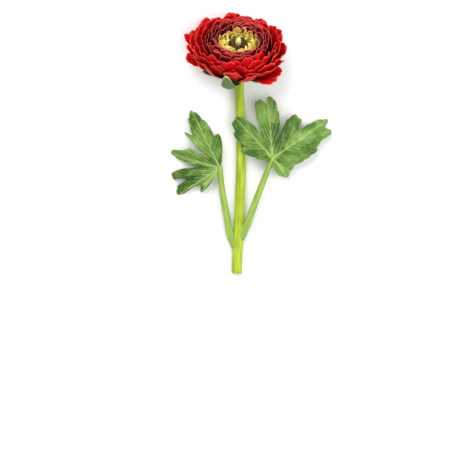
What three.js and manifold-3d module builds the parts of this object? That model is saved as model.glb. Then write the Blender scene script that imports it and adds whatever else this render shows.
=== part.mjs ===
// A double ranunculus, picked: its bloom, its cut stem and two stem leaves, lying on a surface.
// Millimetres, +Z up. The stem runs along Y, the bloom lies at the +Y end and opens up and away from it.

import * as THREE from 'three';
import { mergeVertices } from 'three/addons/utils/BufferGeometryUtils.js';
import Module from 'manifold-3d';

const wasm = await Module();
wasm.setup();

// Driving dimensions

const GAP = 0.3; // clear space between neighbouring pieces
const BLADE = 0.8; // thickness of leaflets, sepals and outer petals
const INNER_BLADE = 0.6; // thickness of the petals inside them
const BLOOM_TILT = THREE.MathUtils.degToRad(41); // the bloom's axis above the surface
const NECK_HEIGHT = 13.2; // where the stem meets the bloom
const STEM_LENGTH = 126; // from the neck to the cut, along Y
const STEM_RADIUS_TOP = 2.8;
const STEM_RADIUS_CUT = 3.1;
const STEM_LEVEL_HEIGHT = 5.5; // centre line where the bend of the neck ends
const STEM_CUT_HEIGHT = 3; // centre line at the cut
const STEM_SWAY = 1.6; // sideways wander of the centre line
const STEM_SWAY_LENGTH = 100;
const STEM_HOLLOW_RADIUS = 1.2;
const STEM_HOLLOW_DEPTH = 8;
const STEM_SIDES = 12;
const STEM_STEPS = 16;
const STEM_CROWDING = 1.5;

// A whorl's profile starts at base and ends at tip, both as [distance from the bloom's axis, height along
// it], and leaves the base at slope degrees. Width is a petal's widest, cup how far its edges rise. Count is
// how many petals a full whorl has. A whorl that isn't full names the direction of each petal it has, in
// degrees from the bloom's right, with its far side at 90.

const RED_WHORLS = [
  {
    count: 7, directions: [-40, -29, 38, 90, 141, 176],
    base: [8.0, 4.0], tip: [31.0, 10.5], slope: -4, width: 12.0, cup: 0.6, floor: 0.3,
  },
  {
    count: 15, directions: [3, 26, 55, 84, 108, 131, 150, 166, 183, 203, 228, 284, 311, 336],
    base: [8.0, 5.2], tip: [29.3, 20.0], slope: -6, width: 12.0, cup: 0.4, floor: 1.3,
  },
  { count: 13, base: [7.8, 6.2], tip: [27.6, 21.8], slope: -6, width: 11.8, cup: 0.3, floor: 2.3 },
  { count: 13, base: [7.6, 7.0], tip: [25.8, 23.3], slope: -5, width: 11.2, cup: 0.3, floor: 3.3 },
  { count: 13, base: [7.4, 7.8], tip: [23.7, 24.8], slope: -4, width: 10.4, cup: 0.2, floor: 4.3 },
  { count: 12, base: [7.2, 8.7], tip: [21.4, 25.9], slope: -2, width: 9.6, cup: 0.2, floor: 5.3 },
];
const DUSKY_WHORLS = [
  { count: 11, base: [6.8, 9.8], tip: [19.2, 26.2], slope: 2, width: 8.8, cup: 0.2 },
  { count: 11, base: [6.5, 10.8], tip: [17.1, 26.4], slope: 4, width: 8.2, cup: 0.2 },
  { count: 11, base: [6.2, 11.8], tip: [15.0, 26.2], slope: 6, width: 7.8, cup: 0.2 },
  { count: 10, base: [5.8, 12.8], tip: [12.9, 25.4], slope: 8, width: 7.2, cup: 0.2 },
];
const YELLOW_WHORLS = [
  { count: 11, base: [5.3, 14.2], tip: [11.5, 25.0], slope: 4, width: 4.8, cup: 0.2 },
  { count: 10, base: [5.1, 15.0], tip: [10.1, 24.9], slope: 6, width: 4.4, cup: 0.2 },
  { count: 10, base: [4.9, 15.8], tip: [8.6, 24.4], slope: 4, width: 4.2, cup: 0.2 },
  { count: 8, base: [4.7, 16.5], tip: [6.8, 23.2], slope: 0, width: 3.8, cup: 0.2 },
];
const RED_CORE_SHARE = 0.45; // how far along its petals each colour's core reaches
const DUSKY_CORE_SHARE = 0.5;
const YELLOW_CORE_SHARE = 0.5;
const ROOT_SINK = 0.12; // how far along its length a petal is sunk in its core
const RED_BUILD = { from: RED_CORE_SHARE - ROOT_SINK, rows: 3, columns: 2, round: 0.15, blade: BLADE };
const DUSKY_BUILD = {
  from: DUSKY_CORE_SHARE - ROOT_SINK, rows: 3, columns: 2, round: 0.07, blade: INNER_BLADE,
};
const YELLOW_BUILD = {
  from: YELLOW_CORE_SHARE - ROOT_SINK, rows: 2, columns: 2, round: 0.1, blade: INNER_BLADE,
};
const SEPAL_BUILD = { from: 0, rows: 5, columns: 3, round: 0.4, blade: BLADE };
const CORE_STEPS = 8; // stations along a whole profile
const ROOM = 0.42; // half a petal's room round its whorl, as a share of a step
const PETAL_ROOT_SHARE = 0.45; // width at the root as a share of the widest
const PETAL_FULL_AT = 0.7; // how far along a petal it reaches its full width
const PETAL_TIP_POWER = 2.5;
const WHORL_ORDERS = 40; // each whorl's petals count on from this times its own number
const SPIN_JITTER = 0.1; // random draws, as shares of a step, of a length, or in millimetres
const LENGTH_JITTER = 0.05;
const BLOOM_RADIUS = 31;
const REACH_STEP = 30; // the bloom reaches out further than round by these shares, every so many degrees
const REACH = [-0.02, -0.02, -0.09, -0.04, -0.02, 0.13, 0.05, -0.03, -0.01, 0.05, -0.02, 0];
const TILT_JITTER = 0.3;
const ROLL_JITTER = 0.3;
const STREAM = { spin: 1, length: 2, tilt: 3, roll: 4, stamen: 5 }; // of random draws, one for each use
const SMALLEST_DETAIL = 0.05; // faces finer than this are merged after a cut
const WELD = 1e-4; // points closer than this are one
const TABLE_EASE = 1.2; // height over which a pressed petal eases onto the surface

const SEPAL = { count: 5, base: [4.6, 2.0], slope: -24, width: 10.5, cup: 0.9, floor: 0.3 };
const FIRST_SEPAL_ORDER = 1000;
const SEPALS = [ // each one's direction and tip: the near one hugs the bloom where its whorl has no petal
  { direction: 198, tip: [24.0, 4.2] },
  { direction: 256, tip: [30.5, 19.0] },
  { direction: 318, tip: [24.0, 4.2] },
  { direction: 30, tip: [20.5, 3.6] },
  { direction: 108, tip: [20.5, 3.6] },
];
const RECEPTACLE = [[0, 0], [STEM_RADIUS_TOP, 0], [4.6, 1.0], [6.6, 2.4], [6.8, 3.3], [0, 3.3]];
const RED_UNDERSIDE = 3.6;
const YELLOW_TOP = 17.2; // floor of the hollow that holds the stamens and the bud
const BUD = [[0, 17.5], [1.1, 17.5], [1.4, 19.5], [1.75, 22.0], [1.7, 24.0], [1.0, 25.7], [0, 26.3]];
const BUD_SIDES = 12;
const STAMEN_RING = [[2.6, 17.5], [4.9, 17.5], [4.9, 18.2], [2.6, 18.2]];
const STAMEN_COUNT = 12;
const STAMEN_JITTER = 0.3; // as a share of a step
const STAMEN_RADIUS = 0.45;
const STAMEN_SIDES = 4;
const STAMEN_FOOT = [3.7, 17.9];
const STAMEN_TIP = [4.3, 20.6];
const CORE_SIDES = 20;
const PAST_TIPS = 6; // clears the petals' tips in a cut

// A leaf's petiole is a route of [x, y, z], and its blade fans out from the end of it. The blade's rim is a
// list of [degrees, radius, height]: the tips of its lobes and teeth and the notches between them, seen from
// that end.

const LEAF_RIGHT = {
  petiole: [[0.6, -104, 3.6], [4.6, -97.5, 4.8], [9.4, -85, 6.9], [15.4, -69, 9.2], [21.4, -54.5, 10.0]],
  arch: 2.2,
  rim: [
    [-94, 5, 9.4], [-72, 11, 7.4], [-52, 14.5, 5.2], [-32, 14, 6.6], [-18, 14.5, 5.6], [-3, 20, 5.4],
    [6, 25.5, 3.4], [13, 28.5, 4.0], [18, 30.5, 3.2], [24, 40, 0.5], [29, 38.5, 1.2], [35, 41, 0.35],
    [42, 34, 3.4], [48, 24, 6.0], [53, 29.5, 4.6], [61, 30, 5.8], [69, 26.5, 5.2], [75, 8, 10.0],
    [79, 22, 8.8], [85, 31.5, 5.8], [90, 37, 4.4], [95, 37.5, 4.6], [99, 35, 6.2], [103, 37, 4.6],
    [107, 36, 5.2], [112, 27, 8.4], [116, 16, 10.6], [121, 25, 10.4], [127, 31, 10.0], [133, 34, 9.4],
    [139, 33.5, 9.6], [145, 29, 10.6], [152, 26, 9.4], [158, 19.5, 10.6], [167, 20, 9.3], [180, 11, 9.8],
    [206, 4.5, 9.6],
  ],
};
const LEAF_LEFT = {
  petiole: [[-0.4, -110, 3.2], [-4.4, -104, 4.4], [-7.4, -90, 5.8], [-10.6, -72, 7.2], [-11.6, -60.5, 7.8]],
  arch: 1.8,
  rim: [
    [72, 4, 7.4], [84, 14, 6.8], [92, 21.5, 4.4], [99, 20.5, 6.2], [106, 29, 4.0], [112, 35, 3.0],
    [116, 39.5, 0.6], [120, 38.5, 0.9], [125, 33, 3.6], [130, 27.5, 4.6], [135, 30.5, 2.8], [141, 11, 7.6],
    [148, 23, 4.4], [155, 26, 3.4], [159, 30.5, 0.5], [164, 30.5, 0.4], [170, 23, 3.6], [176, 13, 6.0],
    [183, 26.5, 2.2], [188, 30, 0.4], [193, 29.5, 0.5], [199, 22, 3.4], [205, 30, 0.5], [213, 30.5, 0.6],
    [221, 17, 4.4], [233, 18.5, 3.0], [252, 5, 7.2],
  ],
};
const PETIOLE_RADIUS_FOOT = 2.4;
const PETIOLE_RADIUS_TOP = 1.7;
const PETIOLE_SIDES = 8;
const PETIOLE_STEPS = 10;
const LEAF_RINGS = [0.38, 0.72, 1];
const LEAF_FLOOR = 0.3;
const LEAF_CUT_START = 10; // the stretch of stem, back from the neck, that the leaves keep clear of
const LEAF_CUT_END = STEM_LENGTH + 5;
const KNOT_RADIUS = 2.0; // swelling where the blade sits on its petiole
const KNOT_SIDES = 8;
const KNOT_BANDS = 6;

// Solids

function solid(geometry) {
  const bare = geometry.clone();
  bare.deleteAttribute('normal');
  bare.deleteAttribute('uv');
  const welded = mergeVertices(bare, WELD);
  const corners = welded.index.array;
  const kept = [];
  for (let i = 0; i < corners.length; i += 3) {
    const [a, b, c] = corners.slice(i, i + 3);
    if (a !== b && b !== c && c !== a) kept.push(a, b, c);
  }
  const mesh = new wasm.Mesh({
    numProp: 3,
    vertProperties: new Float32Array(welded.attributes.position.array),
    triVerts: new Uint32Array(kept),
  });
  return new wasm.Manifold(mesh);
}

// The main body of a joined or cut solid, without the scraps and slivers that cutting leaves
function tidy(manifold) {
  const bodies = manifold.simplify(SMALLEST_DETAIL).decompose();
  return bodies.reduce((a, b) => (a.volume() > b.volume() ? a : b));
}

function closedGeometry(points, triangles) {
  const geometry = new THREE.BufferGeometry();
  const places = points.flatMap((p) => [p.x, p.y, p.z]);
  geometry.setAttribute('position', new THREE.Float32BufferAttribute(places, 3));
  geometry.setIndex(triangles.flat());
  return geometry;
}

// Closes an upper and a lower sheet, which share one set of triangles, with walls along their open edges.
function thicken(upper, lower, triangles) {
  const count = upper.length;
  const edges = new Set();
  for (const [a, b, c] of triangles) {
    edges.add(`${a} ${b}`).add(`${b} ${c}`).add(`${c} ${a}`);
  }
  const walls = [];
  for (const edge of edges) {
    const [a, b] = edge.split(' ').map(Number);
    if (!edges.has(`${b} ${a}`)) walls.push([b, a, a + count], [b, a + count, b + count]);
  }
  const under = triangles.map(([a, b, c]) => [c + count, b + count, a + count]);
  return solid(closedGeometry([...upper, ...lower], [...triangles, ...under, ...walls]));
}

function tube(curve, radiusAt, sides, steps) {
  const { normals, binormals } = curve.computeFrenetFrames(steps);
  const points = [];
  const triangles = [];
  for (let i = 0; i <= steps; i++) {
    const centre = curve.getPointAt(i / steps);
    const radius = radiusAt(i / steps);
    for (let j = 0; j < sides; j++) {
      const turn = ((2 * j + 1) * Math.PI) / sides;
      points.push(
        centre.clone()
          .addScaledVector(normals[i], radius * Math.cos(turn))
          .addScaledVector(binormals[i], radius * Math.sin(turn)),
      );
    }
  }
  for (let i = 0; i < steps; i++) {
    for (let j = 0; j < sides; j++) {
      const a = i * sides + j;
      const b = i * sides + ((j + 1) % sides);
      triangles.push([a, b, b + sides], [a, b + sides, a + sides]);
    }
  }
  const last = steps * sides;
  for (let j = 1; j < sides - 1; j++) {
    triangles.push([0, j + 1, j], [last, last + j, last + j + 1]);
  }
  return solid(closedGeometry(points, triangles));
}

// The bloom's own frame: r out from its axis, phi round it, w along it from the neck

const NECK = new THREE.Vector3(0, 0, NECK_HEIGHT);
const ACROSS = new THREE.Vector3(1, 0, 0);
const FAR = new THREE.Vector3(0, Math.sin(BLOOM_TILT), -Math.cos(BLOOM_TILT));
const AXIS = new THREE.Vector3(0, Math.cos(BLOOM_TILT), Math.sin(BLOOM_TILT));

function bloomPoint(r, phi, w) {
  return NECK.clone()
    .addScaledVector(ACROSS, r * Math.cos(phi))
    .addScaledVector(FAR, r * Math.sin(phi))
    .addScaledVector(AXIS, w);
}

function turned(profile, sides = CORE_SIDES) {
  const lathe = new THREE.LatheGeometry(profile.map(([r, w]) => new THREE.Vector2(r, w)), sides);
  const frame = new THREE.Matrix4().makeBasis(ACROSS, AXIS, FAR.clone().negate()).setPosition(NECK);
  return solid(lathe.applyMatrix4(frame));
}

// An arc from base to tip that leaves the base at the whorl's slope
function profileAt({ base, tip, slope }, t) {
  const dr = tip[0] - base[0];
  const dw = tip[1] - base[1];
  const start = THREE.MathUtils.degToRad(slope);
  const turn = 2 * (Math.atan2(dw, dr) - start);
  const length = (Math.hypot(dr, dw) * turn) / 2 / Math.sin(turn / 2);
  const angle = start + turn * t;
  return {
    r: base[0] + (length * (Math.sin(angle) - Math.sin(start))) / turn,
    w: base[1] - (length * (Math.cos(angle) - Math.cos(start))) / turn,
    angle,
  };
}

function draw(index, stream) {
  const value = Math.sin(index * 12.9898 + stream * 78.233) * 43758.5453;
  return 2 * (value - Math.floor(value)) - 1;
}

function easeOntoTable(z, floor) {
  const above = z - floor;
  if (above >= TABLE_EASE) return z;
  if (above <= -TABLE_EASE) return floor;
  return floor + (above + TABLE_EASE) ** 2 / (4 * TABLE_EASE);
}

// By which share the bloom reaches further than round in a direction
function reach(phi) {
  const place = (THREE.MathUtils.radToDeg(phi) / REACH_STEP + REACH.length) % REACH.length;
  const before = Math.floor(place);
  return THREE.MathUtils.lerp(REACH[before], REACH[(before + 1) % REACH.length],
    THREE.MathUtils.smoothstep(place - before, 0, 1));
}

function petalPoint(whorl, phi, shift, round, u, v) {
  const t = v * shift.length * (1 - round * Math.abs(u) ** PETAL_TIP_POWER);
  const full = Math.sin((Math.PI / 2) * Math.min(1, v / PETAL_FULL_AT));
  const { r: even, w, angle } = profileAt(whorl, t);
  const r = even * (1 + reach(phi) * (even / BLOOM_RADIUS) ** 2);
  const room = (ROOM * 2 * Math.PI * r) / whorl.count;
  const half = Math.min(room, (whorl.width / 2) * (PETAL_ROOT_SHARE + (1 - PETAL_ROOT_SHARE) * full));
  const rise = (whorl.cup * u * u + shift.roll * u) * full + shift.tilt * t * t;
  const point = bloomPoint(r - Math.sin(angle) * rise, phi + (u * half) / r, w + Math.cos(angle) * rise);
  if (whorl.floor !== undefined) point.z = easeOntoTable(point.z, whorl.floor);
  return point;
}

function petal(whorl, phi, shift, { from, rows, columns, round, blade }) {
  const middle = [];
  for (let j = 0; j <= rows; j++) {
    for (let i = 0; i <= columns; i++) {
      const v = from + ((1 - from) * j) / rows;
      middle.push(petalPoint(whorl, phi, shift, round, (2 * i) / columns - 1, v));
    }
  }
  const at = (i, j) => middle[j * (columns + 1) + i];
  const upper = [];
  const lower = [];
  const triangles = [];
  for (let j = 0; j <= rows; j++) {
    for (let i = 0; i <= columns; i++) {
      const along = at(i, Math.min(j + 1, rows)).clone().sub(at(i, Math.max(j - 1, 0)));
      const over = at(Math.min(i + 1, columns), j).clone().sub(at(Math.max(i - 1, 0), j));
      const normal = along.cross(over).normalize();
      upper.push(at(i, j).clone().addScaledVector(normal, blade / 2));
      lower.push(at(i, j).clone().addScaledVector(normal, -blade / 2));
      if (i === columns || j === rows) continue;
      const a = j * (columns + 1) + i;
      const d = a + columns + 1;
      triangles.push([a, d, d + 1], [a, d + 1, a + 1]);
    }
  }
  return thicken(upper, lower, triangles);
}

function shiftOf(order) {
  return {
    length: 1 + LENGTH_JITTER * draw(order, STREAM.length),
    tilt: TILT_JITTER * draw(order, STREAM.tilt),
    roll: ROLL_JITTER * draw(order, STREAM.roll),
  };
}

function whorlPetals(whorls, firstWhorl, build) {
  const petals = whorls.flatMap((whorl, k) => {
    const step = 360 / whorl.count;
    const start = 0.5 * step * ((firstWhorl + k) % 2);
    const directions = whorl.directions ?? Array.from({ length: whorl.count }, (_, i) => start + step * i);
    return directions.map((direction, i) => {
      const order = (firstWhorl + k) * WHORL_ORDERS + i;
      const phi = THREE.MathUtils.degToRad(direction + step * SPIN_JITTER * draw(order, STREAM.spin));
      return petal(whorl, phi, shiftOf(order), build);
    });
  });
  return wasm.Manifold.union(petals);
}

// The surface that parts the petals of two colours, moved out by a margin: a whorl midway between the two
function parting(outer, inner, margin, share = 1) {
  const between = {
    base: [(outer.base[0] + inner.base[0]) / 2, (outer.base[1] + inner.base[1]) / 2],
    tip: [(outer.tip[0] + inner.tip[0]) / 2, (outer.tip[1] + inner.tip[1]) / 2],
    slope: (outer.slope + inner.slope) / 2,
  };
  return rimPoints(between, margin, share);
}

function rimPoints(whorl, margin, share) {
  const points = [];
  for (let k = 0; k / CORE_STEPS <= share; k++) {
    const { r, w, angle } = profileAt(whorl, k / CORE_STEPS);
    points.push([r + margin * Math.sin(angle), w - margin * Math.cos(angle)]);
  }
  return points;
}

// All that lies within a parting surface, up past the petals' tips
function spaceWithin(rim) {
  const [topR, topW] = rim[rim.length - 1];
  return turned([[0, rim[0][1]], ...rim, [topR + PAST_TIPS, topW + PAST_TIPS], [0, topW + PAST_TIPS]]);
}

function core(underside, topside) {
  return turned([[0, underside[0][1]], ...underside, ...topside.toReversed(), [0, topside[0][1]]]);
}

const [RED_TO_DUSKY, DUSKY_TO_YELLOW] = [
  [RED_WHORLS[RED_WHORLS.length - 1], DUSKY_WHORLS[0]],
  [DUSKY_WHORLS[DUSKY_WHORLS.length - 1], YELLOW_WHORLS[0]],
];

function redPetals() {
  const petals = whorlPetals(RED_WHORLS, 0, RED_BUILD).trimByPlane([0, 0, 1], 0);
  const underside = [[RED_WHORLS[0].base[0], RED_UNDERSIDE], ...rimPoints(RED_WHORLS[0], 0, RED_CORE_SHARE)];
  const heart = core(underside, parting(...RED_TO_DUSKY, GAP / 2, RED_CORE_SHARE));
  return tidy(petals.subtract(spaceWithin(parting(...RED_TO_DUSKY, GAP / 2))).add(heart));
}

function duskyPetals() {
  const petals = whorlPetals(DUSKY_WHORLS, RED_WHORLS.length, DUSKY_BUILD);
  const heart = core(parting(...RED_TO_DUSKY, -GAP / 2, DUSKY_CORE_SHARE),
    parting(...DUSKY_TO_YELLOW, GAP / 2, DUSKY_CORE_SHARE));
  return tidy(petals.intersect(spaceWithin(parting(...RED_TO_DUSKY, -GAP / 2)))
    .subtract(spaceWithin(parting(...DUSKY_TO_YELLOW, GAP / 2))).add(heart));
}

function yellowPetals() {
  const petals = whorlPetals(YELLOW_WHORLS, RED_WHORLS.length + DUSKY_WHORLS.length, YELLOW_BUILD);
  const heart = core(parting(...DUSKY_TO_YELLOW, -GAP / 2, YELLOW_CORE_SHARE),
    [[YELLOW_WHORLS[YELLOW_WHORLS.length - 1].base[0], YELLOW_TOP]]);
  return tidy(petals.intersect(spaceWithin(parting(...DUSKY_TO_YELLOW, -GAP / 2))).add(heart));
}

function stamens() {
  const ring = [...STAMEN_RING, STAMEN_RING[0]];
  const stubs = Array.from({ length: STAMEN_COUNT }, (_, i) => {
    const phi = (2 * Math.PI * (i + STAMEN_JITTER * draw(i, STREAM.stamen))) / STAMEN_COUNT;
    const path = new THREE.LineCurve3(bloomPoint(STAMEN_FOOT[0], phi, STAMEN_FOOT[1]),
      bloomPoint(STAMEN_TIP[0], phi, STAMEN_TIP[1]));
    return tube(path, () => STAMEN_RADIUS, STAMEN_SIDES, 1);
  });
  return wasm.Manifold.union([turned(ring), ...stubs]);
}

function calyx() {
  const blades = SEPALS.map(({ direction, tip }, i) => {
    const phi = THREE.MathUtils.degToRad(direction);
    return petal({ ...SEPAL, tip }, phi, shiftOf(FIRST_SEPAL_ORDER + i), SEPAL_BUILD);
  });
  return tidy(wasm.Manifold.union([turned(RECEPTACLE), ...blades]).trimByPlane([0, 0, 1], 0));
}

// The stem leaves the neck along the bloom's axis, bends level and runs down to the cut
function stemCentre(back) {
  const radius = (NECK_HEIGHT - STEM_LEVEL_HEIGHT) / (1 - Math.cos(BLOOM_TILT));
  const bend = radius * Math.sin(BLOOM_TILT);
  const fall = (STEM_LEVEL_HEIGHT - STEM_CUT_HEIGHT) / (STEM_LENGTH - bend);
  const z = back < bend
    ? STEM_LEVEL_HEIGHT + radius - Math.sqrt(radius ** 2 - (bend - back) ** 2)
    : STEM_LEVEL_HEIGHT - fall * (back - bend);
  return new THREE.Vector3(STEM_SWAY * Math.sin((Math.PI * back) / STEM_SWAY_LENGTH), -back, z);
}

// Its stations stand closer where it bends
function stemTube(from, to, extra) {
  const share = (i) => (i / STEM_STEPS) ** STEM_CROWDING;
  const stations = Array.from({ length: STEM_STEPS + 1 }, (_, i) => from + (to - from) * share(i));
  const curve = new THREE.CatmullRomCurve3(stations.map(stemCentre));
  const radiusAt = (s) => STEM_RADIUS_TOP + (STEM_RADIUS_CUT - STEM_RADIUS_TOP) * s + extra;
  return tube(curve, radiusAt, STEM_SIDES, STEM_STEPS);
}

function stem() {
  const end = stemCentre(STEM_LENGTH);
  const inside = stemCentre(STEM_LENGTH - STEM_HOLLOW_DEPTH);
  const outside = end.clone().multiplyScalar(2).sub(inside);
  const hollow = tube(new THREE.LineCurve3(inside, outside), () => STEM_HOLLOW_RADIUS, STEM_SIDES, 1);
  const top = GAP * Math.cos(BLOOM_TILT);
  return tidy(stemTube(top, STEM_LENGTH, 0).subtract(hollow).trimByPlane([0, 0, 1], 0));
}

// A lobed blade: a fan of rings from its foot, arched between the foot and each point of the rim
function leafBlade({ rim, arch }, foot) {
  const reach = Math.max(...rim.map(([, radius]) => radius));
  const pointAt = ([degrees, radius, height], share) => {
    const angle = THREE.MathUtils.degToRad(degrees);
    const lift = arch * (radius / reach) * Math.sin(Math.PI * share);
    const z = foot.z + (height - foot.z) * share * share + lift;
    const x = foot.x + share * radius * Math.cos(angle);
    const y = foot.y + share * radius * Math.sin(angle);
    return new THREE.Vector3(x, y, Math.max(z, LEAF_FLOOR));
  };
  const rings = LEAF_RINGS.flatMap((share) => rim.map((point) => pointAt(point, share)));
  const middle = [foot.clone(), ...rings];
  const triangles = [];
  for (let i = 0; i < rim.length - 1; i++) {
    triangles.push([0, 1 + i, 2 + i]);
    for (let ring = 1; ring < LEAF_RINGS.length; ring++) {
      const a = 1 + (ring - 1) * rim.length + i;
      const b = a + rim.length;
      triangles.push([a, b, b + 1], [a, b + 1, a + 1]);
    }
  }
  const moved = (dz) => middle.map((p) => p.clone().add(new THREE.Vector3(0, 0, dz)));
  return thicken(moved(BLADE / 2), moved(-BLADE / 2), triangles);
}

function leaf(shape) {
  const route = new THREE.CatmullRomCurve3(shape.petiole.map((point) => new THREE.Vector3(...point)));
  const taper = (s) => PETIOLE_RADIUS_FOOT + (PETIOLE_RADIUS_TOP - PETIOLE_RADIUS_FOOT) * s;
  const end = route.getPointAt(1);
  const petiole = tube(route, taper, PETIOLE_SIDES, PETIOLE_STEPS);
  const ball = new THREE.SphereGeometry(KNOT_RADIUS, KNOT_SIDES, KNOT_BANDS);
  const knot = solid(ball.translate(end.x, end.y, end.z));
  const whole = wasm.Manifold.union([petiole, knot, leafBlade(shape, end)]);
  return tidy(whole.trimByPlane([0, 0, 1], 0).subtract(stemTube(LEAF_CUT_START, LEAF_CUT_END, GAP)));
}

// Named meshes

function piece(name, manifold, color, roughness) {
  const { vertProperties, triVerts, numProp } = manifold.getMesh();
  const geometry = new THREE.BufferGeometry();
  geometry.setAttribute('position', new THREE.BufferAttribute(new Float32Array(vertProperties), numProp));
  geometry.setIndex(Array.from(triVerts));
  const mesh = new THREE.Mesh(geometry, new THREE.MeshStandardMaterial({ color, roughness, metalness: 0 }));
  mesh.name = name;
  return mesh;
}

const flower = new THREE.Group();
flower.add(
  piece('stem', stem(), 0x9cb83c, 0.5),
  piece('calyx', calyx(), 0x7f9a3c, 0.6),
  piece('red_petals', redPetals(), 0xc40c16, 0.45),
  piece('dusky_petals', duskyPetals(), 0x7c1622, 0.5),
  piece('yellow_petals', yellowPetals(), 0xd2c24a, 0.5),
  piece('stamens', stamens(), 0x2a1712, 0.7),
  piece('bud', turned(BUD, BUD_SIDES), 0xe8dfa0, 0.5),
  piece('leaf_right', leaf(LEAF_RIGHT), 0x4f8b3f, 0.55),
  piece('leaf_left', leaf(LEAF_LEFT), 0x4a8040, 0.55),
);

// Origin at the middle of the underside of the whole
const box = new THREE.Box3().setFromObject(flower, true);
flower.position.set(-(box.min.x + box.max.x) / 2, -(box.min.y + box.max.y) / 2, -box.min.z);

const ranunculus = new THREE.Group();
ranunculus.add(flower);

export default ranunculus;
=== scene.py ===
"""A picked ranunculus flower with its stem and two stem leaves, lying on a pale floor."""

import math
from typing import NamedTuple

import bpy
import numpy as np
from bpy.props import FloatProperty, FloatVectorProperty, IntProperty, PointerProperty
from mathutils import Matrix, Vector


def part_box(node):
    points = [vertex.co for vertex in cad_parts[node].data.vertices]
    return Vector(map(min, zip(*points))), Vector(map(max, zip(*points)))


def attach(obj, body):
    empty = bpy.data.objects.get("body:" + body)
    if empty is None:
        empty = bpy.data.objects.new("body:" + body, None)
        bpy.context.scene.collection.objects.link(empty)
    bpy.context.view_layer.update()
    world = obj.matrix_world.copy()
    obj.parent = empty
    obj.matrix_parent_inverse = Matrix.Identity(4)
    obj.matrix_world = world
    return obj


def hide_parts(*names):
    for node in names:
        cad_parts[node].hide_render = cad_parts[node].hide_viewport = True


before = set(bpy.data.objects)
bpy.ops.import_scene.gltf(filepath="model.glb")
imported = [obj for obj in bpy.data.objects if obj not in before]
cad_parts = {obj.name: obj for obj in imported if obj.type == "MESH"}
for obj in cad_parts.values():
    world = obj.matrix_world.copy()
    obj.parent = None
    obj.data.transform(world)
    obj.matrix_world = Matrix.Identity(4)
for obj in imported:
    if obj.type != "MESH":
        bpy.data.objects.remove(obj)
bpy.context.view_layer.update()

bl_info = {
    "name": "Ranunculus flower",
    "version": (1, 0, 0),
    "blender": (4, 5, 0),
    "location": "3D View > Sidebar > Ranunculus",
    "description": "Builds a picked double ranunculus, its petals, heart, stem and leaves, and a plain stage",
    "category": "Add Mesh",
}

MM = 0.001
LOWEST = 0.02  # no point lies lower, in millimetres

# Driving dimensions, in millimetres and degrees, the same as on the solid model

BLOOM_TILT = math.radians(41)  # the bloom's axis above the surface
NECK_HEIGHT = 13.2  # where the stem meets the bloom
STEM_LENGTH = 126
STEM_RADIUS_TOP = 2.8
STEM_RADIUS_CUT = 3.1
STEM_LEVEL_HEIGHT = 5.5  # centre line where the bend of the neck ends
STEM_CUT_HEIGHT = 3
STEM_SWAY = 1.6
STEM_SWAY_LENGTH = 100
STEM_HOLLOW_RADIUS = 1.2
STEM_HOLLOW_DEPTH = 8
PETIOLE_RADIUS_FOOT = 2.4
PETIOLE_RADIUS_TOP = 1.7
LEAF_FLOOR = 0.3
SPIN_JITTER = 0.1  # random differences between petals, as a share of a step or of a length
LENGTH_JITTER = 0.05
BLOOM_RADIUS = 31
REACH_STEP = 30  # the bloom reaches further than round by these shares, every so many degrees from its right
REACH = (-0.02, -0.02, -0.09, -0.04, -0.02, 0.13, 0.05, -0.03, -0.01, 0.05, -0.02, 0.0)
TABLE_EASE = 1.2  # height over which a pressed petal or blade eases onto the surface
PETAL_ROOT_SHARE = 0.45  # width at the root as a share of the widest
PETAL_FULL_AT = 0.7  # how far along a petal it reaches its full width
PETAL_TIP_POWER = 2.5
WHORL_ORDERS = 40  # each whorl's petals count on from this times its own number
FIRST_SEPAL_ORDER = 1000
BUD = [(0, 17.5), (1.1, 17.5), (1.4, 19.5), (1.75, 22.0), (1.7, 24.0), (1.0, 25.7), (0, 26.3)]

# Dimensions of the dressed model alone

TILT_JITTER = 0.7  # the solid model's petals differ less from one another
ROLL_JITTER = 0.8
ROW_CROWDING = 0.85  # a petal's rows lie closer together towards its tip
CURL_FROM, CURL_TO = 0.66, 1.08  # the stretch of a petal over which its rim rolls
PETAL_RIM_SHARE, BLADE_RIM_SHARE = 0.4, 0.45  # thickness at the rim as a share of the full thickness
SEPAL_THICKNESS = 0.5
RECEPTACLE_SIDES, HEART_SIDES = 64, 40
RECEPTACLE = [  # its solid twin ends under the petals, this one carries on up to the heart
    (0, 0), (2.8, 0), (4.6, 1.0), (6.6, 2.4), (6.8, 3.3), (6.2, 8.0), (5.0, 14.0), (4.6, 17.0), (0, 17.4),
]
HEART_FLOOR = [(0, 16.0), (4.4, 16.2), (4.8, 17.2), (3.4, 17.9), (2.0, 18.1), (0, 18.2)]
STAMENS = 70
STAMEN_TURN = 0.381966  # of a full turn from one stamen to the next
STAMEN_RING, STAMEN_RING_WIDTH = 2.2, 2.4  # the ring they stand in: inner radius, and width
STAMEN_RING_STEP = 0.37  # of that width from one stamen to the next
STAMEN_HEIGHTS = (17.4, 19.1, 21.4)  # of its foot, bend and head, along the bloom's axis
STAMEN_RADII = (0.14, 0.13, 0.17, 0.3, 0.1)  # from its foot to the end of its anther
STEM_SIDES = 88
STEM_RIBS = 11
STEM_STATIONS = np.concatenate((np.linspace(0.1, 18, 22), np.linspace(19, STEM_LENGTH, 90)))  # closer near the neck
JOINT_BACK, JOINT_SPREAD = 106, 5  # the swelling where the petioles leave the stem, back from the neck
NECK_SPREAD = 3
CUT_STEPS = ((0.94, -0.06), (0.8, -0.05), (0.55, 0.02), (0.42, 0.04))  # share of the radius, and of CUT_DEPTH
CUT_DEPTH = 0.6  # these two as shares of the hollow's depth
HOLLOW_STEPS = (0.04, 0.4, 0.95)
HAIRS_FROM, HAIRS_TO = 2, STEM_LENGTH - 4  # back from the neck
HAIR_LENGTH, HAIR_RADIUS = 1.0, 0.045
HAIR_REACH = 4.2  # from the centre line to about the tip of a hair
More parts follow.
